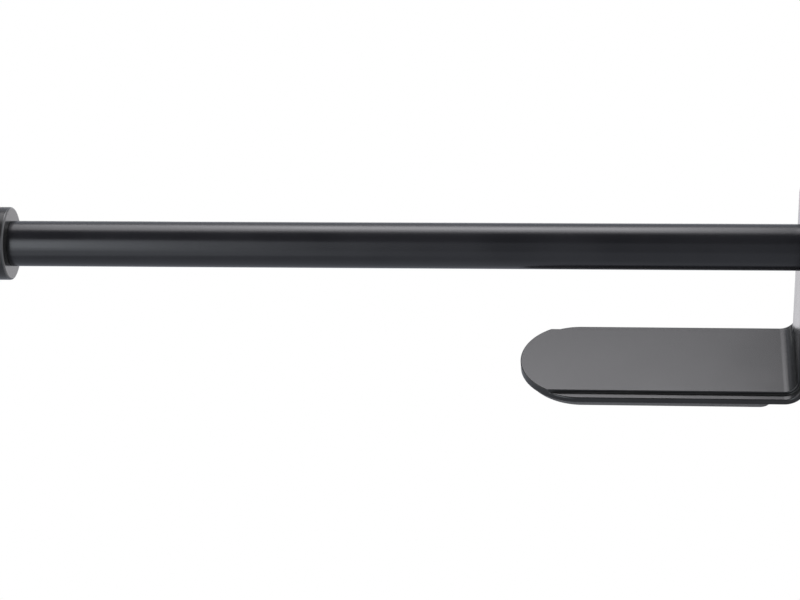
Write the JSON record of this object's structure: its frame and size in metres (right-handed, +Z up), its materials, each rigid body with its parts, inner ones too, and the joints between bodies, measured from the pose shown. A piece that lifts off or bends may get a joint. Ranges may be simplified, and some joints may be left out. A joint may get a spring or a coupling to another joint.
{
  "type": "wall paper towel holder",
  "caption": "Wall-mounted paper towel holder: bent L-shaped strip bracket on an adhesive pad, carrying a cantilevered round bar with an end disc.",
  "frame": {"origin": "centre of the adhesive pad's back face, on the wall plane", "axes": "+X along the bar from the free end to the arm, +Y into the wall, +Z up along the wall"},
  "size_m": [0.3235, 0.0839, 0.048],
  "materials": {
    "black_coat": "satin black powder coat on the strip bracket",
    "bar_coat": "satin black coat on the bar, a little glossier than the bracket",
    "disc_coat": "satin black coat on the turned disc",
    "pad_foam": "matt dark grey acrylic foam tape",
    "turned_metal": "turned, uncoated",
    "black_steel": "black oxide on steel"
  },
  "bodies": {
    "root": {"bracket": "black_coat", "adhesive_pad": "pad_foam", "bar_tube": "bar_coat", "arm_end_plug": "turned_metal", "fixing_screw": "black_steel", "disc_end_plug": "turned_metal", "disc_stud": "black_steel", "end_disc": "disc_coat"}
  },
  "joints": []
}
